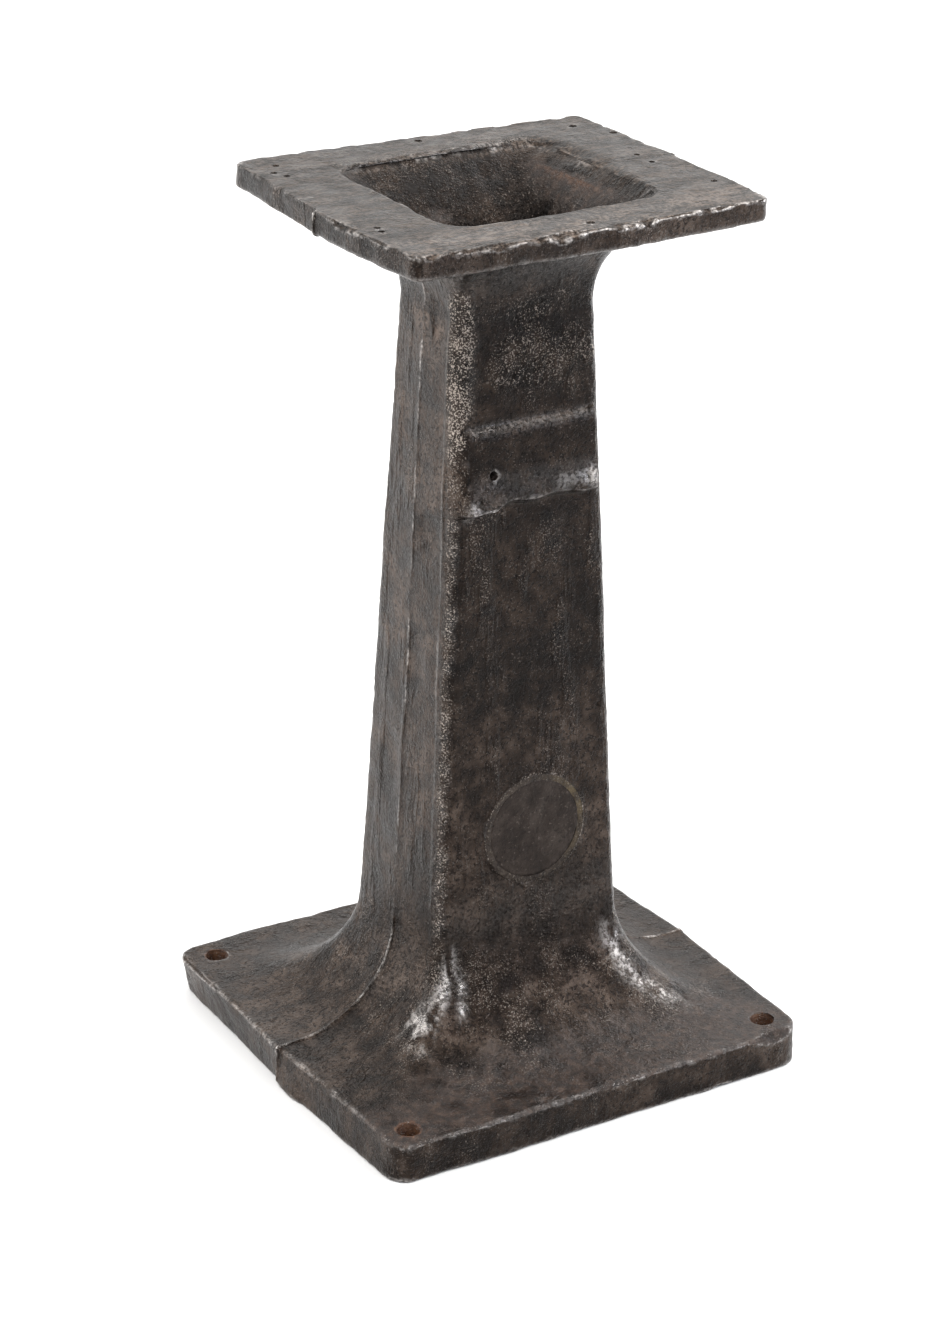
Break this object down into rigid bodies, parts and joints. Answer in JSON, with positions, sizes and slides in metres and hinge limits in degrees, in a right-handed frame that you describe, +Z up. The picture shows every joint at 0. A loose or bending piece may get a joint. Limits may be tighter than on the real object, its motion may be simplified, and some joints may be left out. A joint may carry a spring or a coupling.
{
  "type": "machine pedestal",
  "caption": "Hollow cast-iron pedestal for a bench vise or small machine: bolt-down base, tapered box column, raised front pad and an open flanged top.",
  "frame": {"origin": "centre of the base's underside, on the floor", "axes": "+Z up the column, -Y out of the front face that carries the pad and the plug, Y = 0 the mould's parting plane"},
  "size_m": [0.3404, 0.316, 0.615],
  "materials": {
    "cast_iron": "old stripped casting with a brown-grey patina under clear lacquer",
    "plug_iron": "smooth ground iron with a brown-grey patina",
    "braze_filler": "rough filed braze, dulled to brown-grey over most of its length"
  },
  "bodies": {
    "root": {"pedestal_casting": "cast_iron", "hole_plug": "plug_iron", "plug_braze_ring": "braze_filler"}
  },
  "joints": []
}
